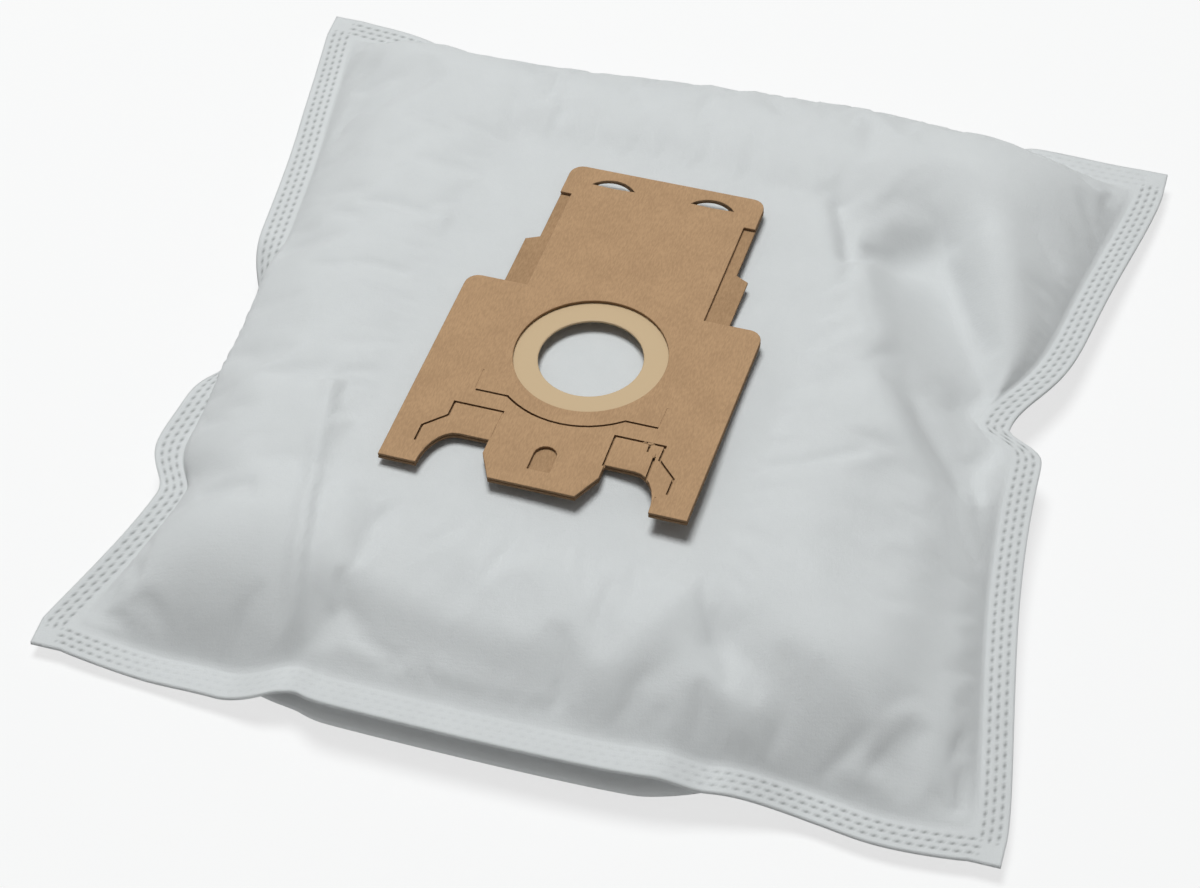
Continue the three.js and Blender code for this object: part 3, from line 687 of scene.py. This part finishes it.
def card_material(name, light, dark):
    material = bpy.data.materials.new(name)
    material.use_nodes = True
    tree = material.node_tree
    add, link = tree.nodes.new, tree.links.new
    skin = tree.nodes["Principled BSDF"]
    skin.inputs["Roughness"].default_value = 0.85
    skin.inputs["Specular IOR Level"].default_value = 0.3
    coords = add("ShaderNodeTexCoord")
    stretch = add("ShaderNodeMapping")
    stretch.inputs["Scale"].default_value = (1, 0.25, 1)
    stretch.inputs["Rotation"].default_value = (0, 0, radians(collar_turn))
    link(coords.outputs["Object"], stretch.inputs["Vector"])
    fibre = add("ShaderNodeTexNoise")
    fibre.inputs["Scale"].default_value = 2200
    fibre.inputs["Detail"].default_value = 5
    link(stretch.outputs["Vector"], fibre.inputs["Vector"])
    cloud = add("ShaderNodeTexNoise")
    cloud.inputs["Scale"].default_value = 90
    cloud.inputs["Detail"].default_value = 5
    link(coords.outputs["Object"], cloud.inputs["Vector"])
    blend = add("ShaderNodeMath")
    blend.operation = "MULTIPLY_ADD"
    blend.inputs[1].default_value = fibre_share
    cloud_part = add("ShaderNodeMath")
    cloud_part.operation = "MULTIPLY"
    cloud_part.inputs[1].default_value = cloud_share
    link(cloud.outputs["Fac"], cloud_part.inputs[0])
    link(fibre.outputs["Fac"], blend.inputs[0])
    link(cloud_part.outputs[0], blend.inputs[2])
    ramp = add("ShaderNodeValToRGB")
    ramp.color_ramp.elements[0].position = 0.5 - grain
    ramp.color_ramp.elements[0].color = (*dark, 1)
    ramp.color_ramp.elements[1].position = 0.5 + grain
    ramp.color_ramp.elements[1].color = (*light, 1)
    link(blend.outputs[0], ramp.inputs["Fac"])
    # The cut edges and the grooves' walls are painted darker than the faces: painted shade, down to 0.6
    # of the colour on every surface that turns away from facing up.
    facing = add("ShaderNodeSeparateXYZ")
    link(coords.outputs["Normal"], facing.inputs[0])
    edge = add("ShaderNodeMapRange")
    edge.inputs["From Min"].default_value = 0.5
    edge.inputs["From Max"].default_value = 0.9
    edge.inputs["To Min"].default_value = 0.6
    edge.inputs["To Max"].default_value = 1.0
    link(facing.outputs["Z"], edge.inputs["Value"])
    painted_side_shade = add("ShaderNodeVectorMath")
    painted_side_shade.operation = "SCALE"
    link(ramp.outputs["Color"], painted_side_shade.inputs[0])
    link(edge.outputs["Result"], painted_side_shade.inputs["Scale"])
    link(painted_side_shade.outputs["Vector"], skin.inputs["Base Color"])
    bump = add("ShaderNodeBump")
    bump.inputs["Strength"].default_value = 0.25
    bump.inputs["Distance"].default_value = 0.0001
    link(blend.outputs[0], bump.inputs["Height"])
    link(bump.outputs["Normal"], skin.inputs["Normal"])
    return material


back_card = card_material("back_cardboard", (0.42, 0.26, 0.14), (0.33, 0.2, 0.105))
dress("back_board", back_card)

# Seal ring: a flat ring of soft cream rubber, punched from sheet. It is held around the inlet
# between the two boards and seals against the cleaner's nozzle.
rubber = plain_material("cream_rubber", colour=(0.545, 0.395, 0.23, 1), roughness=0.55)
dress("seal_ring", rubber)

# Front board: the collar's upper layer of brown kraft cardboard, die-cut, with a tab, two legs and
# folds for the holder. Its cuts have spread open, its flap has torn at the right leg, and its folds
# are scored. Each line is a list of places on the collar, with the width and depth of its groove.
board = card_material("front_cardboard", (0.48, 0.30, 0.165), (0.39, 0.24, 0.13))
arc = [(31.5 * sin(radians(a)), -31.5 * cos(radians(a))) for a in range(-36, 37, 6)]
grooves = [
    ([(-30.3, -24.7), (-19.6, -24.7), *arc, (19.6, -24.7), (30.3, -24.7)], 0.75, 1.2),
    ([(-18.3, -31.6), (-34.8, -31.6), (-34.8, -37.6), (-41.3, -44), (-41.3, -50.8)], 0.8, 1.2),
    ([(18.7, -44.8), (18.5, -31.6), (34.9, -31.6), (34.8, -37.6), (41.3, -44), (41.3, -50.8)], 0.8, 1.2),
    ([(32.9, -36.6), (33.2, -46.4)], 0.9, 1.2), ([(30, -31.4), (30.2, -35.4)], 0.7, 1.2),
    ([(-30.7, -15.7), (-30.5, -24)], 0.5, 0.15), ([(30.7, -15.7), (30.5, -24)], 0.5, 0.15),
    ([(-18.5, -32.2), (-18.6, -43.2)], 0.5, 0.15), ([(-37.4, -53.3), (-37.1, -57.6)], 0.6, 0.2),
    ([(38.2, -52.7), (38.7, -56.8)], 0.5, 0.2),
]
# Torn card fibres: place on the collar, radius, and stretch.
tears = [
    ((30.4, -31.9), 0.55, (2.4, 1.0, 0.7)), ((32.7, -36.4), 0.5, (0.9, 1.9, 0.7)),
    ((28.4, -31.8), 0.35, (1.8, 1, 0.8)),
]
tear_height, tear_spread = 0.05, (0.7, 1.25)


def off_collar(x, y, height):
    """Place in the frame, in metres, of a place on the collar at a height over its front face."""
    turn = radians(collar_turn)
    plan_x = collar_x + x * cos(turn) - y * sin(turn)
    plan_y = collar_y + x * sin(turn) + y * cos(turn)
    return Vector((plan_x, plan_y + middle_y, collar_plane(plan_x, plan_y) + height)) * 0.001


# A groove's cutter stands this far out of the board, and its corners are mitred up to a limit.
cutter_over, sharpest_mitre = 0.5, 0.5


def add_groove(mesh, line, width, depth):
    line = [np.array(place, dtype=float) for place in line]
    heading = [(b - a) / np.linalg.norm(b - a) for a, b in zip(line, line[1:])]
    rings = []
    for i, place in enumerate(line):
        before, after = heading[max(i - 1, 0)], heading[min(i, len(heading) - 1)]
        side = np.array([-(before + after)[1], (before + after)[0]])
        side = side / np.linalg.norm(side)
        mitre = max(sharpest_mitre, abs(side @ np.array([-after[1], after[0]])))
        side = side / mitre * width / 2
        corners = [
            (place + side, cutter_over), (place - side, cutter_over),
            (place - side, -depth), (place + side, -depth),
        ]
        rings.append([mesh.verts.new(off_collar(*at, height)) for at, height in corners])
    for first, second in zip(rings, rings[1:]):
        for k in range(4):
            mesh.faces.new((first[k], first[(k + 1) % 4], second[(k + 1) % 4], second[k]))
    mesh.faces.new(rings[0][::-1])
    mesh.faces.new(rings[-1])


bpy.ops.object.select_all(action="DESELECT")
front_card = nodes["front_board"].copy()
front_card.data = front_card.data.copy()
front_card.name = front_card.data.name = "front_card"
bpy.context.scene.collection.objects.link(front_card)
mesh = bmesh.new()
mesh.from_mesh(front_card.data)
bmesh.ops.remove_doubles(mesh, verts=mesh.verts, dist=1e-6)
mesh.to_mesh(front_card.data)
mesh.free()
cutters = []
for line, width, depth in grooves:
    mesh = bmesh.new()
    add_groove(mesh, line, width, depth)
    bmesh.ops.recalc_face_normals(mesh, faces=mesh.faces)
    cutter_data = bpy.data.meshes.new("cutter")
    mesh.to_mesh(cutter_data)
    mesh.free()
    cutter = bpy.data.objects.new("cutter", cutter_data)
    bpy.context.scene.collection.objects.link(cutter)
    modifier(front_card, "BOOLEAN", operation="DIFFERENCE", solver="EXACT", object=cutter)
    bpy.data.objects.remove(cutter)
shake = np.random.default_rng(7)
for place, radius, stretch in tears:
    mesh = bmesh.new()
    bmesh.ops.create_icosphere(mesh, subdivisions=2, radius=radius * 0.001)
    for vert in mesh.verts:
        torn = np.array(vert.co) * stretch * shake.uniform(*tear_spread)
        vert.co = Vector(torn) + off_collar(*place, tear_height)
    flake_data = bpy.data.meshes.new("flake")
    mesh.to_mesh(flake_data)
    mesh.free()
    flake = bpy.data.objects.new("flake", flake_data)
    bpy.context.scene.collection.objects.link(flake)
    bpy.ops.object.select_all(action="DESELECT")
    flake.select_set(True)
    front_card.select_set(True)
    bpy.context.view_layer.objects.active = front_card
    bpy.ops.object.join()
front_card.data.materials.clear()
front_card.data.materials.append(board)
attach(front_card, "root")
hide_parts("front_board")

# Floor and light: a white table, and a large soft lamp above the bag, a little behind it and to
# its left. What the camera sees of the table and the room is whiter than their light on the bag.
floor_size, floor_drop, floor_glow = 12, 0.0003, 0.72
room_light, lamp_place, lamp_size, lamp_power = 0.12, (-0.3, 0.35, 2.22), 0.9, 44

bpy.ops.object.select_all(action="DESELECT")
bpy.ops.mesh.primitive_plane_add(size=floor_size, location=(0, 0, -floor_drop))
floor = bpy.context.object
floor.name = "floor"
white = bpy.data.materials.new("white_floor")
white.use_nodes = True
tree = white.node_tree
tree.nodes.clear()
floor_out = tree.nodes.new("ShaderNodeOutputMaterial")
floor_mix = tree.nodes.new("ShaderNodeMixShader")
floor_paint = tree.nodes.new("ShaderNodeBsdfDiffuse")
floor_paint.inputs["Color"].default_value = (0.85, 0.85, 0.85, 1)
floor_light = tree.nodes.new("ShaderNodeEmission")
floor_light.inputs["Strength"].default_value = 1.0


def seen_share(tree, amount):
    """The amount for rays of the camera, reflections and clear materials, and 0 for light."""
    path = tree.nodes.new("ShaderNodeLightPath")
    total = path.outputs["Is Camera Ray"]
    for name in ("Is Glossy Ray", "Is Transmission Ray"):
        step = tree.nodes.new("ShaderNodeMath")
        step.use_clamp = True
        tree.links.new(total, step.inputs[0])
        tree.links.new(path.outputs[name], step.inputs[1])
        total = step.outputs[0]
    scaled = tree.nodes.new("ShaderNodeMath")
    scaled.operation = "MULTIPLY"
    scaled.inputs[1].default_value = amount
    tree.links.new(total, scaled.inputs[0])
    return scaled.outputs[0]


tree.links.new(seen_share(tree, floor_glow), floor_mix.inputs["Fac"])
tree.links.new(floor_paint.outputs[0], floor_mix.inputs[1])
tree.links.new(floor_light.outputs[0], floor_mix.inputs[2])
tree.links.new(floor_mix.outputs[0], floor_out.inputs["Surface"])
floor.data.materials.append(white)

world = bpy.data.worlds.new("studio")
bpy.context.scene.world = world
world.use_nodes = True
air = world.node_tree.nodes["Background"]
air.inputs["Color"].default_value = (1, 0.985, 0.96, 1)
strength = world.node_tree.nodes.new("ShaderNodeMath")
strength.operation = "MULTIPLY_ADD"
strength.inputs[1].default_value = 1 - room_light
strength.inputs[2].default_value = room_light
world.node_tree.links.new(seen_share(world.node_tree, 1.0), strength.inputs[0])
world.node_tree.links.new(strength.outputs[0], air.inputs["Strength"])

lamp_data = bpy.data.lights.new("soft_key", "AREA")
lamp_data.shape = "DISK"
lamp_data.size = lamp_size
lamp_data.energy = lamp_power
lamp_data.color = (0.97, 1.0, 1.0)
lamp = bpy.data.objects.new("soft_key", lamp_data)
bpy.context.scene.collection.objects.link(lamp)
lamp.location = lamp_place
lamp.rotation_euler = (-Vector(lamp_place)).to_track_quat("-Z", "Y").to_euler()

bpy.context.scene.view_settings.view_transform = "Standard"
